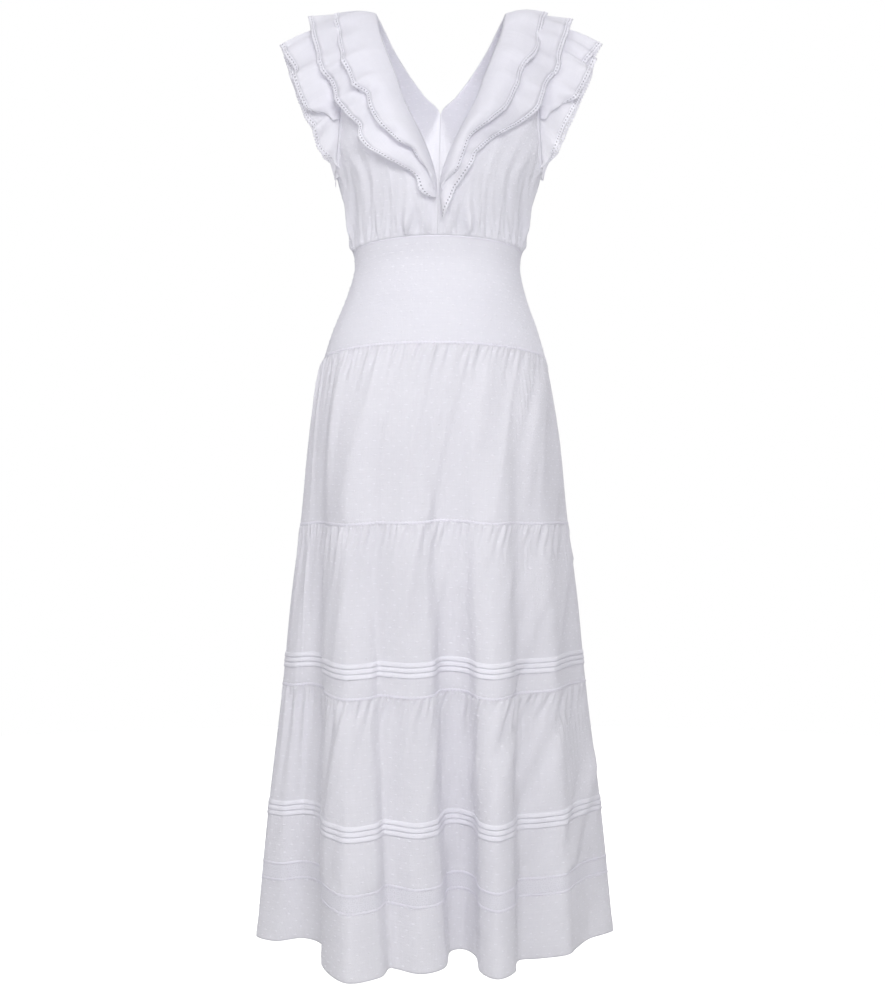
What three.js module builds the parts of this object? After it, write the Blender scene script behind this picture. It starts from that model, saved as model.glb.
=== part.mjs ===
// Cotton midi dress in its worn, filled-out form: a hollow shell of cut pieces, open at the neck,
// armholes and hem. Millimetres, +Z up, the front faces -Y, and the origin is between the shoulders
// at the height of the shoulder line. Right and left are the wearer's: right is -X, left is +X.
import * as THREE from 'three';

// ---- driving dimensions ----
const WALL = 1.5; // thickness of a cloth wall
const SEAM_GAP = 0.3; // clearance between two pieces at their seam
const TRIM_WIDTH = 5; // picot edging beyond a ruffle or sleeve edge
const TRIM_START = 0.12; // share of its width by which it clears that edge
const TUCK_RISE = 1.2; // how far a group of tucks stands out of its tier
const TUCK_STEP = 1.5; // height over which a tuck group rises to that
const FLARE_POWER = 1.1; // how the hem folds fade out up the skirt
const PROBE = 0.01; // step for surface slopes, in units of a surface's own coordinates

// Seams round the body: height at the centre line and at the side seams.
const SEAMS = {
  underbust: { centre: -319, side: -333 },
  hip: { centre: -463, side: -479 },
  tier1End: { centre: -703, side: -709 },
  tier2End: { centre: -931, side: -931 },
  laceTop: { centre: -1178, side: -1178 },
  laceEnd: { centre: -1200, side: -1200 },
  hem: { centre: -1285, side: -1285 },
};

// Tuck groups of the two lower tiers: height of the first tuck's top and of the last one's end.
const TUCKS = { tier2: { top: -886, end: -908 }, tier3: { top: -1092, end: -1114 } };

// Body sections: half width, depth to the front and back, and sideways sway of the hanging dress.
const SECTIONS = [
  { z: 20, half: 150, front: 90, back: 90, sway: 0 },
  { z: -120, half: 140, front: 90, back: 90, sway: -1 },
  { z: -230, half: 138, front: 112, back: 95, sway: -3 },
  { z: -290, half: 121, front: 103, back: 84, sway: -4 },
  { z: -325, half: 117.5, front: 94, back: 80, sway: -4.5 },
  { z: -355, half: 115.5, front: 88, back: 78, sway: -5 },
  { z: -395, half: 126, front: 94, back: 88, sway: -6.5 },
  { z: -437, half: 142, front: 103, back: 102, sway: -8 },
  { z: -470, half: 152.5, front: 109, back: 112, sway: -8.5 },
  { z: -535, half: 166.5, front: 121, back: 126, sway: -9.5 },
  { z: -605, half: 176.5, front: 130, back: 136, sway: -9.5 },
  { z: -703, half: 186, front: 138, back: 146, sway: -9.5 },
  { z: -815, half: 200, front: 146, back: 156, sway: -9.5 },
  { z: -941, half: 212, front: 153, back: 164, sway: -9.5 },
  { z: -1109, half: 232, front: 162, back: 173, sway: -9 },
  { z: -1290, half: 249, front: 170, back: 182, sway: -8.5 },
];

// Folds round the skirt, from the right side seam across the front to the left one and round the
// back. turn: where the fold starts at the hip, in degrees from centre front; x, y: where it
// reaches at the hem; low: how far the hem dips there.
const FOLDS = [
  { turn: -90, x: -249, y: 0, low: -1 },
  { turn: -80, x: -220, y: -38, low: -2 },
  { turn: -71, x: -180, y: -42, low: -7 },
  { turn: -64, x: -151, y: -74, low: -4 },
  { turn: -56, x: -147, y: -148, low: 4 },
  { turn: -47, x: -114, y: -202, low: 12 },
  { turn: -38, x: -72, y: -188, low: 9 },
  { turn: -31, x: -60, y: -160, low: 4 },
  { turn: -24, x: -48, y: -160, low: 5 },
  { turn: -15, x: -17, y: -173, low: 8 },
  { turn: -7, x: 13, y: -156, low: 4 },
  { turn: -1, x: 20, y: -110, low: -5 },
  { turn: 5, x: 40, y: -100, low: -6 },
  { turn: 12, x: 56, y: -124, low: -2 },
  { turn: 19, x: 61, y: -170, low: 6 },
  { turn: 27, x: 82, y: -191, low: 10 },
  { turn: 35, x: 104, y: -172, low: 6 },
  { turn: 42, x: 111, y: -124, low: 3 },
  { turn: 51, x: 142, y: -112, low: 3 },
  { turn: 60, x: 178, y: -102, low: 1 },
  { turn: 68, x: 192, y: -80, low: -3 },
  { turn: 77, x: 212, y: -46, low: -7 },
  { turn: 90, x: 249, y: 0, low: -8 },
  { turn: 102, x: 212, y: 60, low: 0 },
  { turn: 115, x: 180, y: 150, low: 6 },
  { turn: 130, x: 128, y: 112, low: 0 },
  { turn: 145, x: 96, y: 196, low: 9 },
  { turn: 162, x: 50, y: 136, low: 1 },
  { turn: 178, x: 6, y: 190, low: 8 },
  { turn: 195, x: -48, y: 130, low: 0 },
  { turn: 212, x: -94, y: 194, low: 8 },
  { turn: 228, x: -130, y: 114, low: 0 },
  { turn: 244, x: -176, y: 154, low: 6 },
  { turn: 258, x: -214, y: 62, low: 0 },
];
const LEFT_SIDE_FOLD = 22; // the row of the left side seam

// Left half of the bodice, from the front's underbust seam up over the shoulder and down the back.
// nx, ny, nz: neck or centre edge; ax, ay, az: armhole or side edge; round: how much of a quarter
// turn the panel makes between them, in degrees.
const BODICE_ROWS = [
  { nx: 0.2, ny: -95, nz: -318.6, ax: 117.5, ay: 0, az: -332.6, round: 90 },
  { nx: 0.2, ny: -102, nz: -295, ax: 121, ay: 0, az: -302, round: 90 },
  { nx: 0.2, ny: -109, nz: -270, ax: 127, ay: 0, az: -272, round: 90 },
  { nx: 4, ny: -112, nz: -243, ax: 137, ay: 0, az: -241, round: 88 },
  { nx: 12, ny: -110, nz: -217, ax: 142, ay: -22, az: -222, round: 80 },
  { nx: 26, ny: -103, nz: -184, ax: 139, ay: -42, az: -190, round: 75 },
  { nx: 48, ny: -90, nz: -137, ax: 136, ay: -46, az: -150, round: 70 },
  { nx: 59, ny: -76, nz: -103, ax: 136, ay: -42, az: -113, round: 65 },
  { nx: 72, ny: -58, nz: -67, ax: 138, ay: -34, az: -78, round: 60 },
  { nx: 83, ny: -38, nz: -35, ax: 141, ay: -22, az: -44, round: 50 },
  { nx: 88, ny: -17, nz: -8, ax: 142, ay: -10, az: -22, round: 40 },
  { nx: 90, ny: 0, nz: 0, ax: 143, ay: 0, az: -14, round: 30 },
  { nx: 86, ny: 15, nz: -4, ax: 142, ay: 12, az: -22, round: 40 },
  { nx: 79, ny: 30, nz: -14, ax: 141, ay: 24, az: -44, round: 50 },
  { nx: 66, ny: 50, nz: -36, ax: 138, ay: 40, az: -80, round: 60 },
  { nx: 46, ny: 70, nz: -64, ax: 136, ay: 50, az: -115, round: 65 },
  { nx: 22, ny: 84, nz: -93, ax: 136, ay: 54, az: -150, round: 70 },
  { nx: 0.2, ny: 92, nz: -116, ax: 139, ay: 48, az: -188, round: 75 },
  { nx: 0.2, ny: 95, nz: -165, ax: 142, ay: 24, az: -220, round: 82 },
  { nx: 0.2, ny: 94, nz: -215, ax: 137, ay: 0, az: -241, round: 88 },
  { nx: 0.2, ny: 89, nz: -255, ax: 127, ay: 0, az: -272, round: 90 },
  { nx: 0.2, ny: 84, nz: -290, ax: 121, ay: 0, az: -302, round: 90 },
  { nx: 0.2, ny: 80, nz: -318.6, ax: 117.5, ay: 0, az: -332.6, round: 90 },
];
const SHOULDER_ROW = 11; // rows before it are the front's, rows after it the back's
// Fullness of the gathered front: where it is fullest, its spread and how far it stands out.
const BUST = { x: 62, z: -222, across: 45, tall: 52, out: 9 };

// Left neckline ruffle, one row for each row of the neck edge from centre front over the shoulder to
// centre back. lx, ly, lz: outer edge of the lower tier; ux, uy, uz: outer edge of the upper tier;
// bulge: how far the control point of the curve between seam and edge stands out.
const RUFFLE_ROWS = [
  { lx: 8, ly: -120, lz: -290, ux: 9, uy: -125, uz: -264, bulge: 2 },
  { lx: 30, ly: -132, lz: -250, ux: 23, uy: -138, uz: -232, bulge: 8 },
  { lx: 60, ly: -134, lz: -221, ux: 41, uy: -142, uz: -207, bulge: 14 },
  { lx: 98, ly: -112, lz: -190, ux: 67, uy: -132, uz: -180, bulge: 18 },
  { lx: 122, ly: -90, lz: -156, ux: 92, uy: -114, uz: -151, bulge: 18 },
  { lx: 144, ly: -70, lz: -118, ux: 107, uy: -98, uz: -118, bulge: 16 },
  { lx: 162, ly: -54, lz: -87, ux: 128, uy: -77, uz: -84, bulge: 14 },
  { lx: 172, ly: -37, lz: -50, ux: 138, uy: -55, uz: -47, bulge: 11 },
  { lx: 180, ly: -18, lz: -17, ux: 145, uy: -26, uz: -5, bulge: 12 },
  { lx: 185, ly: 0, lz: -1, ux: 149, uy: 0, uz: 7, bulge: 5 },
  { lx: 180, ly: 20, lz: -14, ux: 146, uy: 24, uz: -1, bulge: 9 },
  { lx: 172, ly: 42, lz: -42, ux: 138, uy: 52, uz: -29, bulge: 13 },
  { lx: 158, ly: 66, lz: -80, ux: 122, uy: 80, uz: -61, bulge: 15 },
  { lx: 132, ly: 90, lz: -114, ux: 98, uy: 102, uz: -92, bulge: 13 },
  { lx: 88, ly: 110, lz: -144, ux: 62, uy: 118, uz: -122, bulge: 12 },
  { lx: 24, ly: 115, lz: -168, ux: 14, uy: 120, uz: -144, bulge: 8 },
];
const RUFFLE = {
  rows: RUFFLE_ROWS,
  frontRows: 9, // rows before the shoulder seam
  closest: 3, // how near its seam comes to the centre line
  lower: { stack: 2.4, bulge: 1.1, span: [0.5, 15], steps: 20 },
  upper: { stack: 4.5, bulge: 1.35, span: [0.5, 15], steps: 20 },
  seam: seamOfRuffle,
};

// Left flutter sleeve, one row for each row of the armhole edge from the front over the shoulder to
// the back. lx, ly, lz: outer edge of the lower layer; ux, uy, uz: outer edge of the upper layer.
const SLEEVE_ROWS = [
  { lx: 150, ly: -30, lz: -226, ux: 146, uy: -38, uz: -222, bulge: 2 },
  { lx: 163, ly: -45, lz: -198, ux: 146, uy: -52, uz: -188, bulge: 3 },
  { lx: 174, ly: -48, lz: -170, ux: 150, uy: -56, uz: -152, bulge: 4 },
  { lx: 186, ly: -42, lz: -142, ux: 177, uy: -52, uz: -132, bulge: 4 },
  { lx: 199, ly: -35, lz: -112, ux: 197, uy: -42, uz: -98, bulge: 4 },
  { lx: 210, ly: -23, lz: -84, ux: 209, uy: -26, uz: -71, bulge: 4 },
  { lx: 216, ly: -11, lz: -65, ux: 218, uy: -12, uz: -51, bulge: 4 },
  { lx: 219, ly: 0, lz: -54, ux: 224, uy: 0, uz: -40, bulge: 4 },
  { lx: 216, ly: 12, lz: -65, ux: 218, uy: 13, uz: -51, bulge: 4 },
  { lx: 210, ly: 26, lz: -84, ux: 209, uy: 29, uz: -71, bulge: 4 },
  { lx: 198, ly: 42, lz: -114, ux: 196, uy: 48, uz: -100, bulge: 4 },
  { lx: 184, ly: 52, lz: -144, ux: 177, uy: 61, uz: -134, bulge: 4 },
  { lx: 172, ly: 56, lz: -172, ux: 150, uy: 64, uz: -154, bulge: 4 },
  { lx: 161, ly: 50, lz: -198, ux: 148, uy: 60, uz: -190, bulge: 3 },
  { lx: 150, ly: 30, lz: -226, ux: 148, uy: 38, uz: -222, bulge: 2 },
];
const SLEEVE = {
  rows: SLEEVE_ROWS,
  frontRows: 7, // rows before the shoulder seam
  centreZ: -125, // middle of the armhole
  seamOut: 1.3, // how far past the armhole edge its seam lies
  lower: { stack: 0.5, bulge: 1, span: [0, 14], steps: 14 },
  upper: { stack: 3.5, bulge: 2.8, span: [2, 12], steps: 12 },
  seam: seamOfSleeve,
};

// ---- how finely the walls are divided ----
const BODICE_COLUMNS = 7;
const FRILL_COLUMNS = 2;
const COLUMNS_PER_FOLD = { front: 2, back: 2 };
const FITTED_COLUMNS_PER_FOLD = { front: 1, back: 1 };
const TIER_LEVELS = 2;
const MIDRIFF_LEVELS = 3;


// ---- curves through a table's rows ----
function hermite(a, b, slopeA, slopeB, t) {
  const t2 = t * t;
  const t3 = t2 * t;
  return (2 * t3 - 3 * t2 + 1) * a + (t3 - 2 * t2 + t) * slopeA + (3 * t2 - 2 * t3) * b + (t3 - t2) * slopeB;
}

// Value of a column at a fractional row number, past the ends too.
function atRow(rows, column, place) {
  const last = rows.length - 1;
  const i = Math.min(Math.max(Math.floor(place), 0), last - 1);
  const slope = (k) => {
    const before = Math.max(k - 1, 0);
    const after = Math.min(k + 1, last);
    return (rows[after][column] - rows[before][column]) / (after - before);
  };
  return hermite(rows[i][column], rows[i + 1][column], slope(i), slope(i + 1), place - i);
}

// Value of a column of FOLDS at a fractional row number; the rows close round the body.
function atFold(column, place) {
  const count = FOLDS.length;
  const value = (k) => {
    const lap = Math.floor(k / count);
    return FOLDS[k - lap * count][column] + (column === 'turn' ? 360 * lap : 0);
  };
  const i = Math.floor(place);
  const slope = (k) => (value(k + 1) - value(k - 1)) / 2;
  return hermite(value(i), value(i + 1), slope(i), slope(i + 1), place - i);
}

// Value of a column of SECTIONS at a height.
function atHeight(column, z) {
  const last = SECTIONS.length - 1;
  let i = 0;
  while (i < last - 1 && z < SECTIONS[i + 1].z) i += 1;
  const [above, below] = [SECTIONS[i], SECTIONS[i + 1]];
  const span = below.z - above.z;
  const slope = (k) => {
    const before = SECTIONS[Math.max(k - 1, 0)];
    const after = SECTIONS[Math.min(k + 1, last)];
    return span * (after[column] - before[column]) / (after.z - before.z);
  };
  return hermite(above[column], below[column], slope(i), slope(i + 1), (z - above.z) / span);
}

const radians = (degrees) => degrees * Math.PI / 180;
const mix = (a, b, t) => a + (b - a) * t;

// Point of the plain section, with no folds, at a turn from centre front.
function sectionPoint(turn, z) {
  const depth = atHeight(Math.cos(turn) > 0 ? 'front' : 'back', z);
  return new THREE.Vector3(Math.sin(turn) * atHeight('half', z), -Math.cos(turn) * depth, z);
}

// ---- the midriff and skirt: fold place round the body, and height ----
const HEM_Z = SEAMS.hem.centre;
for (const fold of FOLDS) {
  const plain = sectionPoint(radians(fold.turn), HEM_Z);
  fold.moveX = fold.x - plain.x;
  fold.moveY = fold.y - plain.y;
}

function skirtPoint(place, z) {
  const point = sectionPoint(radians(atFold('turn', place)), z);
  const flare = Math.max(0, (SEAMS.hip.side - z) / (SEAMS.hip.side - HEM_Z)) ** FLARE_POWER;
  const move = new THREE.Vector3(atFold('moveX', place), atFold('moveY', place), -atFold('low', place));
  return point.addScaledVector(move, flare);
}

// Height of a seam at a fold place: it drops from the centre line to the side seams.
function seamHeight(seam, place) {
  return mix(seam.centre, seam.side, 1 - Math.abs(Math.cos(radians(atFold('turn', place)))));
}

// ---- the left half of the bodice: across from its neck or centre edge, and rows from the shoulder ----
function bodicePoint(across, place) {
  const column = (name) => atRow(BODICE_ROWS, name, SHOULDER_ROW + place);
  const round = radians(column('round'));
  const out = Math.sin(across * round) / Math.sin(round);
  const turned = (1 - Math.cos(across * round)) / (1 - Math.cos(round));
  const x = mix(column('nx'), column('ax'), out);
  const y = mix(column('ny'), column('ay'), turned);
  const z = mix(column('nz'), column('az'), turned);
  const full = Math.exp(-(((x - BUST.x) / BUST.across) ** 2) - ((z - BUST.z) / BUST.tall) ** 2);
  return new THREE.Vector3(x, y < 0 ? y - BUST.out * full : y, z);
}

// Outward normal of a surface point(u, v).
function normalOf(point, u, v) {
  const alongU = point(u + PROBE, v).sub(point(u - PROBE, v));
  const alongV = point(u, v + PROBE).sub(point(u, v - PROBE));
  return alongU.cross(alongV).normalize();
}

// ---- the frills: a seam on the bodice's edge, an outer edge, and a curve bulging between them ----
// A frill runs along its rows from the front over the shoulder to the back.
function seamOfRuffle(along) {
  const place = along - RUFFLE.frontRows;
  const base = bodicePoint(0, place);
  base.x = Math.max(base.x, RUFFLE.closest);
  return { base, away: normalOf(bodicePoint, 0, place) };
}

function seamOfSleeve(along) {
  const base = bodicePoint(1, along - SLEEVE.frontRows);
  const away = new THREE.Vector3(0, base.y, base.z - SLEEVE.centreZ).normalize();
  base.x += SLEEVE.seamOut;
  return { base, away };
}

// The three points of the curve across a frill.
function frillCurve(frill, tier, along) {
  const { stack, bulge } = frill[tier];
  const { base, away } = frill.seam(along);
  const start = base.addScaledVector(away, stack);
  const prefix = tier[0];
  const end = new THREE.Vector3(...['x', 'y', 'z'].map((axis) => atRow(frill.rows, prefix + axis, along)));
  const out = bulge * atRow(frill.rows, 'bulge', along);
  const middle = start.clone().lerp(end, 0.5).addScaledVector(away, out);
  return new THREE.QuadraticBezierCurve3(start, middle, end);
}

const frillPoint = (frill, tier) => (out, along) => frillCurve(frill, tier, along).getPoint(out);

// The picot edging goes straight on from the frill's outer edge.
const trimPoint = (frill, tier) => (out, along) => {
  const curve = frillCurve(frill, tier, along);
  const ahead = curve.v2.clone().sub(curve.v1).normalize();
  return curve.v2.addScaledVector(ahead, out * TRIM_WIDTH);
};

// ---- a closed wall round a surface ----
// point(u, v) is the middle of the wall and us and vs rise. rises lifts the outer face at each v.
// Edges are drawn in by half a seam gap. A mirrored wall is the right-hand piece of a left one.
function wall(point, us, vs, { mirrored = false, rises = [] } = {}) {
  const inward = (k, list) => (Number(k === 0) - Number(k === list.length - 1)) * SEAM_GAP / 2;
  const paceU = (u, v) => point(u + PROBE, v).distanceTo(point(u - PROBE, v)) / (2 * PROBE);
  const paceV = (u, v) => point(u, v + PROBE).distanceTo(point(u, v - PROBE)) / (2 * PROBE);
  const positions = [];
  for (const face of [1, -1]) {
    vs.forEach((levelV, level) => us.forEach((columnU, column) => {
      const u = columnU + inward(column, us) / paceU(columnU, levelV);
      const v = levelV + inward(level, vs) / paceV(columnU, levelV);
      const lift = face * WALL / 2 + (face > 0 ? rises[level] ?? 0 : 0);
      const place = point(u, v).addScaledVector(normalOf(point, u, v), lift);
      const side = mirrored ? -place.x : place.x;
      positions.push(side + atHeight('sway', place.z), place.y, place.z);
    }));
  }
  const across = us.length;
  const layer = across * vs.length;
  const outer = (i, j) => j * across + i;
  const inner = (i, j) => layer + outer(i, j);
  const index = [];
  const quad = (a, b, c, d) => (mirrored ? index.push(a, c, b, a, d, c) : index.push(a, b, c, a, c, d));
  const [right, top] = [across - 1, vs.length - 1];
  for (let j = 0; j < top; j += 1) {
    for (let i = 0; i < right; i += 1) {
      quad(outer(i, j), outer(i + 1, j), outer(i + 1, j + 1), outer(i, j + 1));
      quad(inner(i, j), inner(i, j + 1), inner(i + 1, j + 1), inner(i + 1, j));
    }
    quad(inner(0, j + 1), inner(0, j), outer(0, j), outer(0, j + 1));
    quad(inner(right, j), inner(right, j + 1), outer(right, j + 1), outer(right, j));
  }
  for (let i = 0; i < right; i += 1) {
    quad(inner(i, 0), inner(i + 1, 0), outer(i + 1, 0), outer(i, 0));
    quad(inner(i + 1, top), inner(i, top), outer(i, top), outer(i + 1, top));
  }
  const geometry = new THREE.BufferGeometry();
  geometry.setAttribute('position', new THREE.Float32BufferAttribute(positions, 3));
  geometry.setIndex(index);
  geometry.computeVertexNormals();
  return geometry;
}

// Evenly spaced values from first to last.
function steps(first, last, count) {
  return Array.from({ length: count + 1 }, (_, k) => mix(first, last, k / count));
}

// ---- materials and pieces ----
const cotton = (name, color) => new THREE.MeshStandardMaterial({ name, color, roughness: 0.9, metalness: 0 });
const BODICE_COTTON = 0xe6e6ee;
const SKIRT_COTTON = 0xdfe0e6;
const LACE_COTTON = 0xececf0;

const dress = new THREE.Group();
dress.name = 'cotton_midi_dress';

function addPiece(name, geometry, color) {
  const mesh = new THREE.Mesh(geometry, cotton(name, color));
  mesh.name = name;
  dress.add(mesh);
}

function addBodice() {
  const across = steps(0, 1, BODICE_COLUMNS);
  const halves = { front: [-SHOULDER_ROW, 0], back: [0, SHOULDER_ROW] };
  for (const [half, [from, to]] of Object.entries(halves)) {
    for (const [side, mirrored] of [['left', false], ['right', true]]) {
      const panel = wall(bodicePoint, across, steps(from, to, SHOULDER_ROW), { mirrored });
      addPiece(`bodice_${half}_${side}`, panel, BODICE_COTTON);
    }
  }
}

function addFrills(name, frill) {
  for (const tier of ['lower', 'upper']) {
    const along = steps(...frill[tier].span, frill[tier].steps);
    for (const [side, mirrored] of [['left', false], ['right', true]]) {
      const layer = wall(frillPoint(frill, tier), steps(0, 1, FRILL_COLUMNS), along, { mirrored });
      addPiece(`${name}_${tier}_${side}`, layer, BODICE_COTTON);
      const trim = wall(trimPoint(frill, tier), [TRIM_START, 1], along, { mirrored });
      addPiece(`${name}_trim_${tier}_${side}`, trim, LACE_COTTON);
    }
  }
}

// A band round the body between two seams: a front and a back panel that meet at the side seams.
// levels are shares of the height from the lower seam to the upper one.
function addBand(name, upper, lower, { levels, rises, perFold = COLUMNS_PER_FOLD, color = SKIRT_COTTON }) {
  const point = (place, share) => (
    skirtPoint(place, mix(seamHeight(lower, place), seamHeight(upper, place), share))
  );
  const halves = { front: [0, LEFT_SIDE_FOLD], back: [LEFT_SIDE_FOLD, FOLDS.length] };
  for (const [half, [from, to]] of Object.entries(halves)) {
    const columns = steps(from, to, (to - from) * perFold[half]);
    addPiece(`${name}_${half}`, wall(point, columns, levels, { rises }), color);
  }
}

// A gathered tier whose cloth stands out in a group of tucks.
function addTuckedTier(name, upper, lower, tucks) {
  const share = (z) => (z - lower.centre) / (upper.centre - lower.centre);
  const { top, end } = tucks;
  const levels = [0, share(end), share(end + TUCK_STEP), share(top - TUCK_STEP), share(top)];
  addBand(name, upper, lower, { levels: [...levels, 1], rises: [0, 0, TUCK_RISE, TUCK_RISE] });
}

addBodice();
addFrills('ruffle', RUFFLE);
addFrills('sleeve', SLEEVE);
addBand('midriff', SEAMS.underbust, SEAMS.hip, {
  levels: steps(0, 1, MIDRIFF_LEVELS),
  perFold: FITTED_COLUMNS_PER_FOLD,
  color: BODICE_COTTON,
});
addBand('tier1', SEAMS.hip, SEAMS.tier1End, {
  levels: steps(0, 1, TIER_LEVELS),
  perFold: FITTED_COLUMNS_PER_FOLD,
});
addTuckedTier('tier2', SEAMS.tier1End, SEAMS.tier2End, TUCKS.tier2);
addTuckedTier('tier3', SEAMS.tier2End, SEAMS.laceTop, TUCKS.tier3);
addBand('lace', SEAMS.laceTop, SEAMS.laceEnd, { levels: [0, 1], color: LACE_COTTON });
addBand('hem', SEAMS.laceEnd, SEAMS.hem, { levels: [0, 1] });

export default dress;
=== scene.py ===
"""Cotton midi dress in its worn form: dotted cotton panels, a two-tier neckline ruffle, flutter
sleeves, picot edgings, tucks and a lace insertion, sewn round the hollow of a general figure.

Metres, +Z up, the front faces -Y. Right and left are the wearer's: right is -X, left is +X.
"""
import math

import bpy
import numpy as np
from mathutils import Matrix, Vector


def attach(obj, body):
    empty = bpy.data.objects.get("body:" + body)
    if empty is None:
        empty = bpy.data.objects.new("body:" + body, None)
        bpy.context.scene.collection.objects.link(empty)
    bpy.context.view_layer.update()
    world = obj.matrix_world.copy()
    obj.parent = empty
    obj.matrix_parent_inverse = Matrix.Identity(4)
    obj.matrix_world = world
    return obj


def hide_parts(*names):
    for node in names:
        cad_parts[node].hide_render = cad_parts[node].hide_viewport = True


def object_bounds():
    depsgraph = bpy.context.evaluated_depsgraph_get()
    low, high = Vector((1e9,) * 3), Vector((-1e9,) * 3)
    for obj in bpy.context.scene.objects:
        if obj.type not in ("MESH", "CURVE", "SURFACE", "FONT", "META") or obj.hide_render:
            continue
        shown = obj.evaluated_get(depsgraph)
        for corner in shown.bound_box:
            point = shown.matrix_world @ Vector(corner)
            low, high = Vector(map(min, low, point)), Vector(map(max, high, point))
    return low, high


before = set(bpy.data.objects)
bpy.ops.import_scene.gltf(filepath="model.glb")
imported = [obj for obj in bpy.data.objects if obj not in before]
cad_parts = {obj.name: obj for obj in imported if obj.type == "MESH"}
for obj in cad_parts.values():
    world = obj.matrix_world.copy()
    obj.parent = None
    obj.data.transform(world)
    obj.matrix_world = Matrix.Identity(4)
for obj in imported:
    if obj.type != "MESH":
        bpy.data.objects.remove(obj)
cad_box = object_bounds()

MM = 0.001

# ---- sizes of the cloth and its trims, in metres ----
CLOTH = 0.0007  # thickness of the cotton
TRIM_WIDTH = 0.0062  # picot edging past a frill's edge
PICOT_PITCH = 0.0046  # one scallop of the edging
DOT_PITCH = 0.0185  # woven dots along a row
DOT_ROW = 0.0094  # between rows of dots
DOT_LENGTH = 0.0050
DOT_WIDTH = 0.0019
DOT_RISE = 0.0011
TUCK_WIDTH = 0.0066  # one tuck from its stitching to its fold
TUCK_PITCH = 0.0070
TUCK_RISE = 0.0017
FLARE_POWER = 1.1

# Seams round the body, in millimetres: at the centre line and at the side seams.
SEAMS = {
    "underbust": (-319, -333),
    "hip": (-463, -479),
    "tier1_end": (-703, -709),
    "tier2_end": (-931, -931),
    "lace_top": (-1178, -1178),
    "lace_end": (-1200, -1200),
    "hem": (-1285, -1285),
}
TUCK_TOPS = {"tier2": -886, "tier3": -1092}
TUCKS = 3
SEAM_SCALLOP = 0.0018  # depth of the scallops along the skirt's seams


def table(columns, rows):
    """Rows of numbers as one array for each named column."""
    return dict(zip(columns.split(), np.array(rows, float).T))


# Body sections: height, half width, depth to the front and back, and sideways sway.
SECTIONS = table("z half front back sway", [
    (20, 150, 90, 90, 0),
    (-120, 140, 90, 90, -1),
    (-230, 138, 112, 95, -3),
    (-290, 121, 103, 84, -4),
    (-325, 117.5, 94, 80, -4.5),
    (-355, 115.5, 88, 78, -5),
    (-395, 126, 94, 88, -6.5),
    (-437, 142, 103, 102, -8),
    (-470, 152.5, 109, 112, -8.5),
    (-535, 166.5, 121, 126, -9.5),
    (-605, 176.5, 130, 136, -9.5),
    (-703, 186, 138, 146, -9.5),
    (-815, 200, 146, 156, -9.5),
    (-941, 212, 153, 164, -9.5),
    (-1109, 232, 162, 173, -9),
    (-1290, 249, 170, 182, -8.5),
])

# Folds round the skirt from the right side seam across the front and round the back: where each
# starts at the hip, in degrees from centre front, where it reaches at the hem, and its dip there.
FOLDS = table("turn x y low", [
    (-90, -249, 0, -1),
    (-80, -220, -38, -2),
    (-71, -180, -42, -7),
    (-64, -151, -74, -4),
    (-56, -147, -148, 4),
    (-47, -114, -202, 12),
    (-38, -72, -188, 9),
    (-31, -60, -160, 4),
    (-24, -48, -160, 5),
    (-15, -17, -173, 8),
    (-7, 13, -156, 4),
    (-1, 20, -110, -5),
    (5, 40, -100, -6),
    (12, 56, -124, -2),
    (19, 61, -170, 6),
    (27, 82, -191, 10),
    (35, 104, -172, 6),
    (42, 111, -124, 3),
    (51, 142, -112, 3),
    (60, 178, -102, 1),
    (68, 192, -80, -3),
    (77, 212, -46, -7),
    (90, 249, 0, -8),
    (102, 212, 60, 0),
    (115, 180, 150, 6),
    (130, 128, 112, 0),
    (145, 96, 196, 9),
    (162, 50, 136, 1),
    (178, 6, 190, 8),
    (195, -48, 130, 0),
    (212, -94, 194, 8),
    (228, -130, 114, 0),
    (244, -176, 154, 6),
    (258, -214, 62, 0),
])
FOLD_COUNT = len(FOLDS["turn"])
LEFT_SIDE_FOLD = 22

# Left half of the bodice from the front's underbust seam over the shoulder and down the back: neck
# or centre edge, armhole or side edge, and how much of a quarter turn lies between them.
BODICE = table("nx ny nz ax ay az round", [
    (0, -95, -318.6, 117.5, 0, -332.6, 90),
    (0, -102, -295, 121, 0, -302, 90),
    (0, -109, -270, 127, 0, -272, 90),
    (4, -112, -243, 137, 0, -241, 88),
    (12, -110, -217, 142, -22, -222, 80),
    (26, -103, -184, 139, -42, -190, 75),
    (48, -90, -137, 136, -46, -150, 70),
    (59, -76, -103, 136, -42, -113, 65),
    (72, -58, -67, 138, -34, -78, 60),
    (83, -38, -35, 141, -22, -44, 50),
    (88, -17, -8, 142, -10, -22, 40),
    (90, 0, 0, 143, 0, -14, 30),
    (86, 15, -4, 142, 12, -22, 40),
    (79, 30, -14, 141, 24, -44, 50),
    (66, 50, -36, 138, 40, -80, 60),
    (46, 70, -64, 136, 50, -115, 65),
    (22, 84, -93, 136, 54, -150, 70),
    (0, 92, -116, 139, 48, -188, 75),
    (0, 95, -165, 142, 24, -220, 82),
    (0, 94, -215, 137, 0, -241, 88),
    (0, 89, -255, 127, 0, -272, 90),
    (0, 84, -290, 121, 0, -302, 90),
    (0, 80, -318.6, 117.5, 0, -332.6, 90),
])
SHOULDER_ROW = 11
BUST = {"x": 62, "z": -222, "across": 45, "tall": 52, "out": 9}

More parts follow.
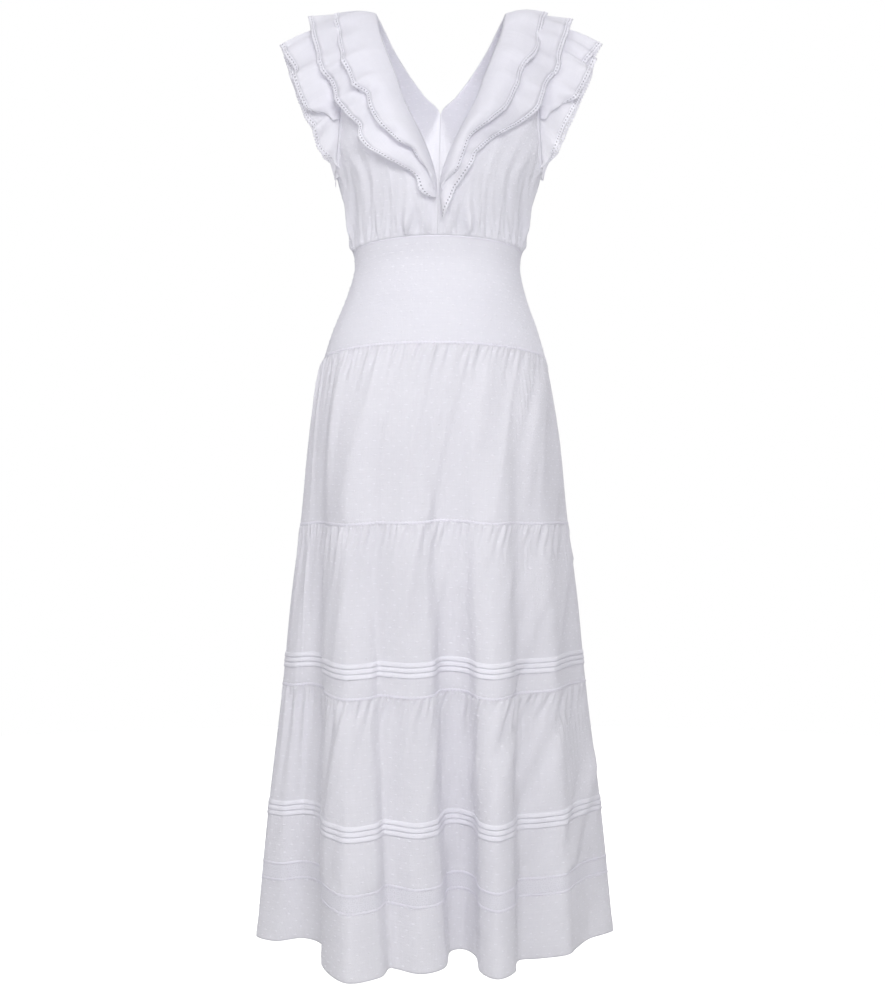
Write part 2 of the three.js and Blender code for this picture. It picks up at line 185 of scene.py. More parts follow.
# Neckline ruffle from centre front over the shoulder to centre back: outer edges of its lower and
# upper tiers, and how far the curve between seam and edge stands out.
RUFFLE = {
    "rows": table("lx ly lz ux uy uz bulge", [
        (8, -120, -290, 9, -125, -264, 2),
        (30, -132, -250, 23, -138, -232, 8),
        (60, -134, -221, 41, -142, -207, 14),
        (98, -112, -190, 67, -132, -180, 18),
        (122, -90, -156, 92, -114, -151, 18),
        (144, -70, -118, 107, -98, -118, 16),
        (162, -54, -87, 128, -77, -84, 14),
        (172, -37, -50, 138, -55, -47, 11),
        (180, -18, -17, 145, -26, -5, 12),
        (185, 0, -1, 149, 0, 7, 5),
        (180, 20, -14, 146, 24, -1, 9),
        (172, 42, -42, 138, 52, -29, 13),
        (158, 66, -80, 122, 80, -61, 15),
        (132, 90, -114, 98, 102, -92, 13),
        (88, 110, -144, 62, 118, -122, 12),
        (24, 115, -168, 14, 120, -144, 8),
    ]),
    "front_rows": 9,
    "closest": 3,
    "lower": {"stack": 2.4, "bulge": 1.1, "span": (0.04, 15)},
    "upper": {"stack": 4.5, "bulge": 1.35, "span": (0.08, 15)},
}

# Flutter sleeve from the front over the shoulder to the back, in the same columns.
SLEEVE = {
    "rows": table("lx ly lz ux uy uz bulge", [
        (150, -30, -226, 146, -38, -222, 2),
        (163, -45, -198, 146, -52, -188, 3),
        (174, -48, -170, 150, -56, -152, 4),
        (186, -42, -142, 177, -52, -132, 4),
        (199, -35, -112, 197, -42, -98, 4),
        (210, -23, -84, 209, -26, -71, 4),
        (216, -11, -65, 218, -12, -51, 4),
        (219, 0, -54, 224, 0, -40, 4),
        (216, 12, -65, 218, 13, -51, 4),
        (210, 26, -84, 209, 29, -71, 4),
        (198, 42, -114, 196, 48, -100, 4),
        (184, 52, -144, 177, 61, -134, 4),
        (172, 56, -172, 150, 64, -154, 4),
        (161, 50, -198, 148, 60, -190, 3),
        (150, 30, -226, 148, 38, -222, 2),
    ]),
    "front_rows": 7,
    "centre_z": -125,
    "seam_out": 1.3,
    "lower": {"stack": 0.5, "bulge": 1, "span": (0, 14)},
    "upper": {"stack": 3.5, "bulge": 2.8, "span": (2, 12)},
}


# Outer edges of the front frills, from the bodice up to the shoulder: half width and height.
OUTLINES = {
    "ruffle_lower_right": table("x z", [
        (7, -275), (24, -261), (31, -245), (53, -231), (75, -218), (99, -202), (110, -185), (112, -169),
        (128, -152), (143, -129), (152, -104), (165, -85), (171, -65), (178, -32), (186, -1),
    ]),
    "ruffle_lower_left": table("x z", [
        (7, -305), (21, -264), (28, -254), (47, -225), (53, -210), (81, -185), (112, -166), (134, -142),
        (144, -113), (157, -92), (163, -86), (169, -48), (176, -28), (182, 0),
    ]),
    "ruffle_upper_right": table("x z", [
        (9, -245), (24, -227), (35, -211), (53, -199), (75, -179), (93, -156), (100, -130), (119, -114),
        (129, -90), (137, -68), (144, -27), (150, 1),
    ]),
    "ruffle_upper_left": table("x z", [
        (5, -257), (28, -227), (40, -196), (60, -175), (93, -146), (106, -116), (114, -88), (119, -78),
        (130, -66), (137, -48), (141, -11), (148, 1),
    ]),
    "sleeve_lower_right": table("x z", [
        (138, -246), (146, -214), (164, -196), (170, -185), (172, -165), (185, -150), (197, -120),
        (204, -100), (212, -75), (218, -55),
    ]),
    "sleeve_lower_left": table("x z", [
        (134, -228), (153, -212), (158, -200), (166, -178), (178, -150), (196, -118), (206, -90),
        (214, -66), (219, -54),
    ]),
    "sleeve_upper_right": table("x z", [
        (146, -222), (152, -160), (182, -142), (194, -120), (201, -101), (205, -75), (217, -56), (224, -42),
    ]),
    "sleeve_upper_left": table("x z", [
        (146, -222), (152, -158), (177, -130), (191, -118), (209, -80), (203, -68), (212, -56), (223, -38),
    ]),
}


# ---- curves through a table's rows ----
def hermite(a, b, slope_a, slope_b, t):
    t2 = t * t
    t3 = t2 * t
    return (2 * t3 - 3 * t2 + 1) * a + (t3 - 2 * t2 + t) * slope_a + (3 * t2 - 2 * t3) * b + (t3 - t2) * slope_b


def at_row(rows, column, place):
    """Column of a table at fractional row numbers, past the ends too."""
    values = rows[column]
    last = len(values) - 1
    place = np.asarray(place, float)
    i = np.clip(np.floor(place).astype(int), 0, last - 1)

    def slope(k):
        before = np.maximum(k - 1, 0)
        after = np.minimum(k + 1, last)
        return (values[after] - values[before]) / (after - before)

    return hermite(values[i], values[i + 1], slope(i), slope(i + 1), place - i)


def at_fold(column, place):
    """Column of the folds at fractional row numbers, closed round the body."""
    place = np.asarray(place, float)
    i = np.floor(place).astype(int)

    def value(k):
        lap = k // FOLD_COUNT
        return FOLDS[column][k % FOLD_COUNT] + (360 * lap if column == "turn" else 0)

    def slope(k):
        return (value(k + 1) - value(k - 1)) / 2

    return hermite(value(i), value(i + 1), slope(i), slope(i + 1), place - i)


def at_height(column, z):
    """Column of the body sections at a height in millimetres."""
    heights = SECTIONS["z"]
    values = SECTIONS[column]
    last = len(heights) - 1
    z = np.asarray(z, float)
    i = np.clip(np.searchsorted(-heights, -z, side="right") - 1, 0, last - 1)
    span = heights[i + 1] - heights[i]

    def slope(k):
        before = np.maximum(k - 1, 0)
        after = np.minimum(k + 1, last)
        return span * (values[after] - values[before]) / (heights[after] - heights[before])

    return hermite(values[i], values[i + 1], slope(i), slope(i + 1), (z - heights[i]) / span)


def mix(a, b, t):
    return a + (b - a) * t


def stack(x, y, z):
    return np.stack(np.broadcast_arrays(x, y, z), axis=-1)


# ---- the surfaces, in millimetres ----
def section_point(turn, z):
    depth = np.where(np.cos(turn) > 0, at_height("front", z), at_height("back", z))
    return stack(np.sin(turn) * at_height("half", z), -np.cos(turn) * depth, z)


HEM_Z = SEAMS["hem"][0]
_plain = section_point(np.radians(FOLDS["turn"]), HEM_Z)
FOLDS["move_x"] = FOLDS["x"] - _plain[:, 0]
FOLDS["move_y"] = FOLDS["y"] - _plain[:, 1]


def skirt_point(place, z):
    point = section_point(np.radians(at_fold("turn", place)), z)
    hip = SEAMS["hip"][1]
    flare = np.maximum(0, (hip - z) / (hip - HEM_Z)) ** FLARE_POWER
    move = stack(at_fold("move_x", place), at_fold("move_y", place), -at_fold("low", place))
    return point + move * flare[..., None]


def seam_height(seam, place):
    centre, side = SEAMS[seam]
    return mix(centre, side, 1 - np.abs(np.cos(np.radians(at_fold("turn", place)))))


def bodice_point(across, place):
    row = SHOULDER_ROW + np.asarray(place, float)
    round_ = np.radians(at_row(BODICE, "round", row))
    out = np.sin(across * round_) / np.sin(round_)
    turned = (1 - np.cos(across * round_)) / (1 - np.cos(round_))
    x = mix(np.maximum(at_row(BODICE, "nx", row), 0), at_row(BODICE, "ax", row), out)
    y = mix(at_row(BODICE, "ny", row), at_row(BODICE, "ay", row), turned)
    z = mix(at_row(BODICE, "nz", row), at_row(BODICE, "az", row), turned)
    full = np.exp(-(((x - BUST["x"]) / BUST["across"]) ** 2) - ((z - BUST["z"]) / BUST["tall"]) ** 2)
    return stack(x, np.where(y < 0, y - BUST["out"] * full, y), z)


def unit(vectors):
    return vectors / np.maximum(np.linalg.norm(vectors, axis=-1, keepdims=True), 1e-12)


def ruffle_seam(along):
    place = along - RUFFLE["front_rows"]
    base = bodice_point(0.0, place)
    probe = 0.01
    along_u = bodice_point(probe, place) - bodice_point(-probe, place)
    along_v = bodice_point(0.0, place + probe) - bodice_point(0.0, place - probe)
    base[..., 0] = np.maximum(base[..., 0], RUFFLE["closest"])
    return base, unit(np.cross(along_u, along_v))


def sleeve_seam(along):
    base = bodice_point(1.0, along - SLEEVE["front_rows"])
    away = unit(stack(0 * along, base[..., 1], base[..., 2] - SLEEVE["centre_z"]))
    base[..., 0] += SLEEVE["seam_out"]
    return base, away


def smooth(t):
    t = np.clip(t, 0, 1)
    return t * t * (3 - 2 * t)


def frill_edge(frill, name, tier, side, along):
    """Outer edge of a frill: its own outline in front, the table's behind the shoulder."""
    rows = frill["rows"]
    x, y, z = (at_row(rows, tier[0] + axis, along) for axis in "xyz")
    front = frill["front_rows"]
    steps = np.hypot(np.diff(rows[tier[0] + "x"][:front + 1]), np.diff(rows[tier[0] + "z"][:front + 1]))
    share = np.concatenate([[0], np.cumsum(steps)]) / steps.sum()
    outline = OUTLINES[f"{name}_{tier}_{side}"]
    pieces = np.hypot(np.diff(outline["x"]), np.diff(outline["z"]))
    knots = np.concatenate([[0], np.cumsum(pieces)]) / pieces.sum()
    place = np.interp(np.interp(along, np.arange(front + 1), share), knots, np.arange(len(knots)))
    weight = smooth((front - along) / 1.2)
    x = mix(x, at_row(outline, "x", place), weight)
    z = mix(z, at_row(outline, "z", place), weight)
    return stack(x, y, z)


def frill_point(frill, seam, name, tier, side, along, out):
    """A point of a frill: along it, and out from its seam to just short of its edging."""
    base, away = seam(along)
    start = base + away * frill[tier]["stack"]
    edge = frill_edge(frill, name, tier, side, along)
    end = edge - unit(edge - start) * TRIM_WIDTH / MM * 0.85
    bulge = frill[tier]["bulge"] * at_row(frill["rows"], "bulge", along)
    middle = (start + end) / 2 + away * bulge[..., None]
    out = np.asarray(out)[..., None]
    return start * (1 - out) ** 2 + middle * 2 * out * (1 - out) + end * out ** 2


# ---- relief: gathers, soft folds and tucks, in metres along the surface's normal ----
def distances(points):
    """Running length along each row of a grid of points."""
    steps = np.linalg.norm(np.diff(points, axis=1), axis=-1)
    return np.concatenate([np.zeros((points.shape[0], 1)), np.cumsum(steps, axis=1)], axis=1)


def pleats(run, drop, rng, pitch, depth, reach, lean=0.05):
    """Uneven ridges that run down from a gathered seam and die out, on a mean of nothing."""
    total = float(run.max())
    count = max(3, int(total / pitch))
    relief = np.zeros(np.broadcast_shapes(run.shape, drop.shape))
    for k in range(count):
        centre = (k + 0.5 + rng.uniform(-0.42, 0.42)) * total / count
        width = pitch * rng.uniform(0.20, 0.42)
        length = reach * math.exp(rng.normal(0, 0.5))
        spread = width * (1 + 1.3 * drop / (drop + reach))
        ridge = np.exp(-((run - centre - rng.normal(0, lean) * drop) / spread) ** 2)
        relief += depth * rng.uniform(0.3, 1.0) * ridge * np.exp(-(drop / length) ** 1.5)
    return (relief - relief.mean(axis=1, keepdims=True)) * smooth(drop / (0.22 * reach))


def soft_folds(run, drop, rng, count, depth, width, length):
    """Long shallow ridges and troughs scattered over a panel."""
    relief = np.zeros(np.broadcast_shapes(run.shape, drop.shape))
    for _ in range(count):
        x = rng.uniform(0, float(run.max()))
        z = rng.uniform(0, float(drop.max()))
        wide = width * rng.uniform(0.6, 1.6)
        tall = length * rng.uniform(0.5, 1.5)
        deep = depth * rng.uniform(0.4, 1.0) * rng.choice([-1, 1])
        slant = rng.normal(0, 0.12)
        relief += deep * np.exp(-((run - x - slant * (drop - z)) / wide) ** 2 - ((drop - z) / tall) ** 2)
    return relief


def held_edges(run, drop, side=0.014, top=0.004, bottom=0.010):
    """Nothing at a panel's stitched edges, one inside them."""
    width = run[:, -1:]
    low = drop.max(axis=0, keepdims=True)
    across = smooth(run / side) * smooth((width - run) / side)
    down = smooth(drop / top) * smooth((low - drop) / bottom)
    return across * down


def normals_of(points):
    along_rows = np.gradient(points, axis=1)
    along_columns = np.gradient(points, axis=0)
    return unit(np.cross(along_rows, along_columns))


# ---- shader node groups ----
def new_group(name, inputs, outputs):
    group = bpy.data.node_groups.new(name, "ShaderNodeTree")
    for socket, kind, default in inputs:
        made = group.interface.new_socket(socket, in_out="INPUT", socket_type=kind)
        if default is not None:
            made.default_value = default
    for socket, kind in outputs:
        group.interface.new_socket(socket, in_out="OUTPUT", socket_type=kind)
    return group, group.nodes.new("NodeGroupInput"), group.nodes.new("NodeGroupOutput")


def add_node(tree, kind, links=(), **settings):
    """A node with its settings; links are (input, source socket or value)."""
    node = tree.nodes.new(kind)
    for key, value in settings.items():
        setattr(node, key, value)
    for socket, source in links:
        if hasattr(source, "is_output"):
            tree.links.new(source, node.inputs[socket])
        else:
            node.inputs[socket].default_value = source
    return node


def math_node(tree, operation, a, b=0.0, c=None):
    links = [(0, a), (1, b)] + ([(2, c)] if c is not None else [])
    return add_node(tree, "ShaderNodeMath", links, operation=operation).outputs[0]


def plain_weave_group():
    """Crossed threads with slubs: a height and a mask of thin and thick places."""
    group, entry, exit_ = new_group(
        "plain_weave",
        [("Thread Pitch", "NodeSocketFloat", 0.0012), ("Slub Scale", "NodeSocketFloat", 420.0)],
        [("Height", "NodeSocketFloat"), ("Slubs", "NodeSocketFloat")],
    )
    place = add_node(group, "ShaderNodeUVMap", uv_map="cloth").outputs["UV"]
    split = add_node(group, "ShaderNodeSeparateXYZ", [(0, place)])
    threads = []
    for axis in ("X", "Y"):
        turns = math_node(group, "DIVIDE", split.outputs[axis], entry.outputs["Thread Pitch"])
        threads.append(math_node(group, "SINE", math_node(group, "MULTIPLY", turns, 2 * math.pi)))
    woven = math_node(group, "MULTIPLY", threads[0], threads[1])
    stretched = []
    for sx, sy in ((1.0, 0.10), (0.06, 1.0)):
        moved = add_node(group, "ShaderNodeMapping", [("Vector", place), ("Scale", (sx, sy, 1.0))])
        noise = add_node(
            group, "ShaderNodeTexNoise",
            [("Vector", moved.outputs[0]), ("Scale", entry.outputs["Slub Scale"]), ("Detail", 3.0)],
        )
        stretched.append(noise.outputs["Fac"])
    slubs = math_node(group, "MULTIPLY", math_node(group, "ADD", stretched[0], stretched[1]), 0.5)
    height = math_node(group, "ADD", math_node(group, "MULTIPLY", woven, 0.3), slubs)
    group.links.new(height, exit_.inputs["Height"])
    group.links.new(slubs, exit_.inputs["Slubs"])
    return group


def crumple_group():
    """Soft creases of pressed and handled cotton."""
    group, entry, exit_ = new_group(
        "soft_crumple",
        [("Scale", "NodeSocketFloat", 22.0)],
        [("Height", "NodeSocketFloat"), ("Shade", "NodeSocketFloat")],
    )
    place = add_node(group, "ShaderNodeTexCoord").outputs["Object"]
    broad = add_node(
        group, "ShaderNodeTexNoise",
        [("Vector", place), ("Scale", entry.outputs["Scale"]), ("Detail", 4.0), ("Roughness", 0.45)],
    )
    group.links.new(broad.outputs["Fac"], exit_.inputs["Height"])
    fine = add_node(group, "ShaderNodeTexNoise", [("Vector", place), ("Scale", 6.0), ("Detail", 2.0)])
    group.links.new(fine.outputs["Fac"], exit_.inputs["Shade"])
    return group


def eyelet_group():
    """A row of small holes along an edging: a mask of the open holes, and one of a wider ring round each hole where
    shadow is painted.
    """
    group, entry, exit_ = new_group(
        "picot_eyelets",
        [("Pitch", "NodeSocketFloat", PICOT_PITCH), ("Row", "NodeSocketFloat", 0.0014),
         ("Radius", "NodeSocketFloat", 0.0009)],
        [("Holes", "NodeSocketFloat"), ("Shade", "NodeSocketFloat")],
    )
    place = add_node(group, "ShaderNodeUVMap", uv_map="cloth").outputs["UV"]
    split = add_node(group, "ShaderNodeSeparateXYZ", [(0, place)])
    turns = math_node(group, "FRACT", math_node(group, "DIVIDE", split.outputs["X"], entry.outputs["Pitch"]))
    across = math_node(group, "MULTIPLY", math_node(group, "SUBTRACT", turns, 0.5), entry.outputs["Pitch"])
    along = math_node(group, "SUBTRACT", split.outputs["Y"], entry.outputs["Row"])
    radius = math_node(group, "SQRT", math_node(
        group, "ADD", math_node(group, "MULTIPLY", across, across), math_node(group, "MULTIPLY", along, along)))
    group.links.new(math_node(group, "LESS_THAN", radius, entry.outputs["Radius"]), exit_.inputs["Holes"])
    # Shade: a ring wider than the hole, where the cloth gets painted shadow.
    wide = math_node(group, "MULTIPLY", entry.outputs["Radius"], 1.7)
    group.links.new(math_node(group, "LESS_THAN", radius, wide), exit_.inputs["Shade"])
    return group


def lace_motif_group():
    """Round flowers between two edge rows: a mask of the holes, which are not cut but drawn in painted shade, and a
    thread height.
    """
    group, entry, exit_ = new_group(
        "lace_motif",
        [("Pitch", "NodeSocketFloat", 0.011)],
        [("Holes", "NodeSocketFloat"), ("Height", "NodeSocketFloat")],
    )
    place = add_node(group, "ShaderNodeUVMap", uv_map="cloth").outputs["UV"]
    split = add_node(group, "ShaderNodeSeparateXYZ", [(0, place)])
    across = math_node(group, "DIVIDE", split.outputs["X"], entry.outputs["Pitch"])
    along = math_node(group, "DIVIDE", split.outputs["Y"], entry.outputs["Pitch"])
    cell_x = math_node(group, "SUBTRACT", math_node(group, "FRACT", across), 0.5)
    cell_y = math_node(group, "SUBTRACT", math_node(group, "FRACT", along), 0.5)
    radius = math_node(
        group, "SQRT",
        math_node(group, "ADD", math_node(group, "MULTIPLY", cell_x, cell_x), math_node(group, "MULTIPLY", cell_y, cell_y)),
    )
    angle = math_node(group, "ARCTAN2", cell_y, cell_x)
    petals = math_node(group, "MULTIPLY", math_node(group, "COSINE", math_node(group, "MULTIPLY", angle, 5.0)), 0.07)
    rim = math_node(group, "ABSOLUTE", math_node(group, "SUBTRACT", radius, math_node(group, "ADD", petals, 0.32)))
    thread = math_node(group, "LESS_THAN", rim, 0.09)
    eye = math_node(group, "LESS_THAN", radius, 0.12)
    solid = math_node(group, "MAXIMUM", thread, eye)
    bars = math_node(group, "GREATER_THAN", math_node(group, "ABSOLUTE", cell_x), 0.44)
    solid = math_node(group, "MAXIMUM", solid, bars)
    edges = math_node(group, "GREATER_THAN", math_node(group, "ABSOLUTE", cell_y), 0.43)
    solid = math_node(group, "MAXIMUM", solid, edges)
    # Holes: the openings between the threads, which the cloth's colour darkens as painted shade.
    group.links.new(math_node(group, "SUBTRACT", 1.0, solid), exit_.inputs["Holes"])
    group.links.new(solid, exit_.inputs["Height"])
    return group


WEAVE = plain_weave_group()
CRUMPLE = crumple_group()
LACE = lace_motif_group()
EYELETS = eyelet_group()


SEE_THROUGH = 0.38  # share of the light that crosses the cloth
EYELET_PAINTED_SHADOW = 0.72  # painted shadow on the cloth round an eyelet, beside the plain cloth
LACE_HOLE_PAINTED_SHADE = 0.95  # painted shade in the lace's openings, beside its threads


def cotton_material(name, light, dark, relief=0.0011, crumple=0.0030, sheen=0.25,
                    lace=False, eyelets=False):
    """Thin matt cotton that is lit from both sides: woven threads, slubs and soft creases."""
    material = bpy.data.materials.new(name)
    material.use_nodes = True
    tree = material.node_tree
    shader = tree.nodes["Principled BSDF"]
    shader.inputs["Roughness"].default_value = 0.88
    shader.inputs["Specular IOR Level"].default_value = 0.25
    shader.inputs["Sheen Weight"].default_value = sheen
    shader.inputs["Sheen Roughness"].default_value = 0.6
    weave = add_node(tree, "ShaderNodeGroup", node_tree=WEAVE)
    folds = add_node(tree, "ShaderNodeGroup", node_tree=CRUMPLE)
    tint = math_node(tree, "ADD", math_node(tree, "MULTIPLY", weave.outputs["Slubs"], 0.5),
                     math_node(tree, "MULTIPLY", folds.outputs["Shade"], 0.5))
    ramp = add_node(tree, "ShaderNodeMapRange", [(0, tint), (1, 0.40), (2, 0.60)])
    colour = add_node(tree, "ShaderNodeMix", [("Factor", ramp.outputs[0])], data_type="RGBA")
    colour.inputs[6].default_value = (*dark, 1)
    colour.inputs[7].default_value = (*light, 1)
    broad = add_node(tree, "ShaderNodeBump",
                     [("Height", folds.outputs["Height"]), ("Distance", crumple), ("Strength", 0.6)])
    normal = add_node(tree, "ShaderNodeBump",
                      [("Height", weave.outputs["Height"]), ("Distance", relief), ("Strength", 0.5),
                       ("Normal", broad.outputs[0])])
    tinted = colour
    # Eyelets get painted shadow round their holes, and the lace gets painted shade in its openings.
    if eyelets or lace:
        worked = add_node(tree, "ShaderNodeGroup", node_tree=EYELETS if eyelets else LACE)
        painted_shade_mask = worked.outputs["Shade"] if eyelets else worked.outputs["Holes"]
        depth = EYELET_PAINTED_SHADOW if eyelets else LACE_HOLE_PAINTED_SHADE
        tinted = add_node(tree, "ShaderNodeMix", [("Factor", painted_shade_mask)], data_type="RGBA")
        tree.links.new(colour.outputs[2], tinted.inputs[6])
        tinted.inputs[7].default_value = (dark[0] * depth, dark[1] * depth, dark[2] * depth, 1)
        if eyelets:
            tree.links.new(math_node(tree, "SUBTRACT", 1.0, worked.outputs["Holes"]), shader.inputs["Alpha"])
        else:
            normal = add_node(tree, "ShaderNodeBump",
                              [("Height", worked.outputs["Height"]), ("Distance", 0.0005), ("Strength", 0.6),
                               ("Normal", normal.outputs[0])])
    tree.links.new(tinted.outputs[2], shader.inputs["Base Color"])
    tree.links.new(normal.outputs[0], shader.inputs["Normal"])
    through = add_node(tree, "ShaderNodeBsdfTranslucent",
                       [("Color", (*light, 1)), ("Normal", normal.outputs[0])])
    cloth = add_node(tree, "ShaderNodeMixShader",
                     [(0, SEE_THROUGH), (1, shader.outputs[0]), (2, through.outputs[0])])
    # The shell's inner walls are left open to light, so that it crosses one thickness of cloth.
    inner = add_node(tree, "ShaderNodeNewGeometry").outputs["Backfacing"]
    clear = add_node(tree, "ShaderNodeBsdfTransparent")
    shell = add_node(tree, "ShaderNodeMixShader", [(0, inner), (1, cloth.outputs[0]), (2, clear.outputs[0])])
    tree.links.new(shell.outputs[0], tree.nodes["Material Output"].inputs["Surface"])
    return material


BODICE_COTTON = cotton_material("dotted_cotton_lined", (0.90, 0.894, 0.945), (0.84, 0.834, 0.89))
FRILL_COTTON = cotton_material("plain_cotton_frill", (0.915, 0.908, 0.96), (0.85, 0.843, 0.90))
SKIRT_VOILE = cotton_material("dotted_cotton_voile", (0.885, 0.877, 0.925), (0.82, 0.812, 0.86))
TUCKED = cotton_material("tucked_cotton_voile", (0.94, 0.932, 0.985), (0.89, 0.882, 0.94))
TUFT = cotton_material("woven_dot_tuft", (0.94, 0.932, 0.985), (0.90, 0.892, 0.95), sheen=0.4)
PICOT = cotton_material("picot_edging", (0.94, 0.932, 0.985), (0.89, 0.882, 0.95), relief=0.001, eyelets=True)
SEAM_EDGING = cotton_material("seam_edging", (0.94, 0.925, 0.99), (0.90, 0.885, 0.965), relief=0.0006)
INSERTION = cotton_material("lace_insertion", (0.915, 0.907, 0.965), (0.86, 0.852, 0.91), lace=True)


# ---- meshes ----
def mesh_object(name, vertices, faces, material, uv=None, smooth=True):
    mesh = bpy.data.meshes.new(name)
    mesh.from_pydata([tuple(v) for v in vertices], [], [tuple(f) for f in faces])
    if uv is not None:
        layer = mesh.uv_layers.new(name="cloth")
        corners = np.empty(len(mesh.loops), dtype=np.int32)
        mesh.loops.foreach_get("vertex_index", corners)
        layer.data.foreach_set("uv", np.asarray(uv, np.float32)[corners].ravel())
    mesh.polygons.foreach_set("use_smooth", [smooth] * len(mesh.polygons))
    mesh.materials.append(material)
    mesh.update()
    piece = bpy.data.objects.new(name, mesh)
    bpy.context.scene.collection.objects.link(piece)
    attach(piece, "root")
    return piece


def sheet_mesh(points, uv, thickness=CLOTH):
    """A closed thin shell round a grid of points: vertices, faces and place on the cloth."""
    rows, columns = points.shape[:2]
    normal = normals_of(points) * thickness / 2
    vertices = np.concatenate([(points + normal).reshape(-1, 3), (points - normal).reshape(-1, 3)])
    count = rows * columns
    number = np.arange(count).reshape(rows, columns)
    a, b = number[:-1, :-1].ravel(), number[:-1, 1:].ravel()
    c, d = number[1:, 1:].ravel(), number[1:, :-1].ravel()
    outer = np.stack([a, b, c, d], 1)
    inner = np.stack([a, d, c, b], 1) + count
    ring = np.concatenate([number[0, :-1], number[:-1, -1], number[-1, :0:-1], number[:0:-1, 0]])
    after = np.roll(ring, -1)
    rim = np.stack([ring, ring + count, after + count, after], 1)
    flat = np.concatenate([uv.reshape(-1, 2)] * 2)
    return vertices, np.concatenate([outer, inner, rim]), flat


def swayed(points):
    """Points in metres moved by the sideways sway of the hanging dress."""
    moved = points.copy()
    moved[..., 0] += at_height("sway", points[..., 2] / MM) * MM
    return moved


def mirrored_grid(points, uv, mirrored):
    """The right-hand piece of a left one, with its rows turned so that it still faces out."""
    if not mirrored:
        return points, uv
    flipped = points[:, ::-1].copy()
    flipped[..., 0] *= -1
    return flipped, uv[:, ::-1]


def cloth_place(points):
    """Place of each point on its cloth, in metres."""
    run = distances(points)
    down = np.cumsum(np.concatenate([
        np.zeros((1, points.shape[1])),
        np.linalg.norm(np.diff(points, axis=0), axis=-1),
    ]), axis=0)
    return np.stack([run - run[:, -1:] / 2, down], axis=-1)


def dots_on(name, points, pitch, row, seed, inside=False):
    """Raised woven dots over a grid of points, in staggered rows, as one joined mesh."""
    rng = np.random.default_rng(seed)
    run = distances(points)
    widest = run[np.argmax(run[:, -1])]
    middle = points[:, points.shape[1] // 2]
    drop = np.concatenate([[0], np.cumsum(np.linalg.norm(np.diff(middle, axis=0), axis=-1))])
    normal = normals_of(points) * (-1 if inside else 1)
    rim = [(math.cos(t), math.sin(t)) for t in np.linspace(0, 2 * math.pi, 6, endpoint=False)]
    vertices, faces = [], []
    for k, level in enumerate(np.arange(row * 0.6, drop[-1] - row * 0.3, row)):
        r = np.interp(level, drop, np.arange(len(drop)))
        for x in np.arange(pitch * (0.3 + (k % 2) / 2), widest[-1] - DOT_LENGTH, pitch):
            c = np.interp(x + rng.normal(0, 0.0010), widest, np.arange(len(widest)))
            line = np.clip(r + rng.normal(0, 0.05), 0, len(drop) - 1.001)
            i, j = int(line), min(int(c), points.shape[1] - 2)
            fi, fj = line - i, c - j

            def at(grid):
                upper = grid[i, j] * (1 - fj) + grid[i, j + 1] * fj
                lower = grid[i + 1, j] * (1 - fj) + grid[i + 1, j + 1] * fj
                return upper * (1 - fi) + lower * fi

            out = unit(at(normal))
            along = unit(points[i, j + 1] - points[i, j])
            up = np.cross(out, along)
            tilt = rng.normal(0, 0.07)
            along, up = along * math.cos(tilt) + up * math.sin(tilt), up * math.cos(tilt) - along * math.sin(tilt)
            length = DOT_LENGTH / 2 * rng.uniform(0.75, 1.15)
            width = DOT_WIDTH / 2 * rng.uniform(0.8, 1.2)
            first = len(vertices)
            base = at(points) + out * CLOTH * 0.45
            vertices.extend(base + along * length * a + up * width * b for a, b in rim)
            top = base + out * DOT_RISE
            vertices.extend([top - along * length * 0.5, top + along * length * 0.5])
            left, right = first + 6, first + 7
            faces.extend([
                (first, first + 1, right), (first + 1, first + 2, left, right), (first + 2, first + 3, left),
                (first + 3, first + 4, left), (first + 4, first + 5, right, left), (first + 5, first, right),
            ])
    flat = np.array(vertices)[:, [0, 2]]
    piece = mesh_object(name, vertices, faces, TUFT, flat)
    return piece


def cloth_piece(name, points, material, thickness=CLOTH):
    uv = cloth_place(points)
    vertices, faces, flat_uv = sheet_mesh(points, uv, thickness)
    piece = mesh_object(name, vertices, faces, material, flat_uv)
    return piece


# ---- the skirt and midriff ----
HALVES = {"front": (0, LEFT_SIDE_FOLD), "back": (LEFT_SIDE_FOLD, FOLD_COUNT)}
COLUMNS = {"front": 600, "back": 400}
HEM_FOLD = 0.014  # cloth turned up at the hem
HEM_STEP = 0.0007


def band_levels(height, spacing, extra=()):
    """Distances below a band's upper seam, closer together near its seams and its tucks."""
    near = [0, 2, 4, 7, 11, 16, 22, 29, 37]
    levels = {d for d in near if d < height * 0.4} | {height - d for d in (0, 3, 7, 12) if d < height * 0.4}
    start, end = max(d for d in levels if d < height * 0.4), min(d for d in levels if d > height * 0.55)
    count = max(2, int((end - start) / spacing))
    levels |= set(np.linspace(start, end, count + 1)[1:-1])
    levels |= set(extra)
    ordered = sorted(levels)
    return np.array([d for k, d in enumerate(ordered) if k == 0 or d - ordered[k - 1] > 0.2])


def band_grid(upper, lower, half, levels, columns):
    start, end = HALVES[half]
    place = np.linspace(start, end, columns)
    height = SEAMS[upper][0] - SEAMS[lower][0]
    z = mix(seam_height(upper, place), seam_height(lower, place), levels[:, None] / height)
    return swayed(skirt_point(np.broadcast_to(place, z.shape), z) * MM)


def outward(points):
    """Normals of a grid whose rows run downwards."""
    return -normals_of(points)


def rows_at(points, levels, wanted):
    """Rows of a grid at other distances down it."""
    place = np.interp(wanted, levels, np.arange(len(levels)))
    i = np.minimum(place.astype(int), len(levels) - 2)
    share = (place - i)[:, None, None]
    return points[i] * (1 - share) + points[i + 1] * share


def seed_of(text):
    """A small fixed number for a name, to seed its random draws."""
    return sum((k + 1) * ord(letter) for k, letter in enumerate(text)) % 9973


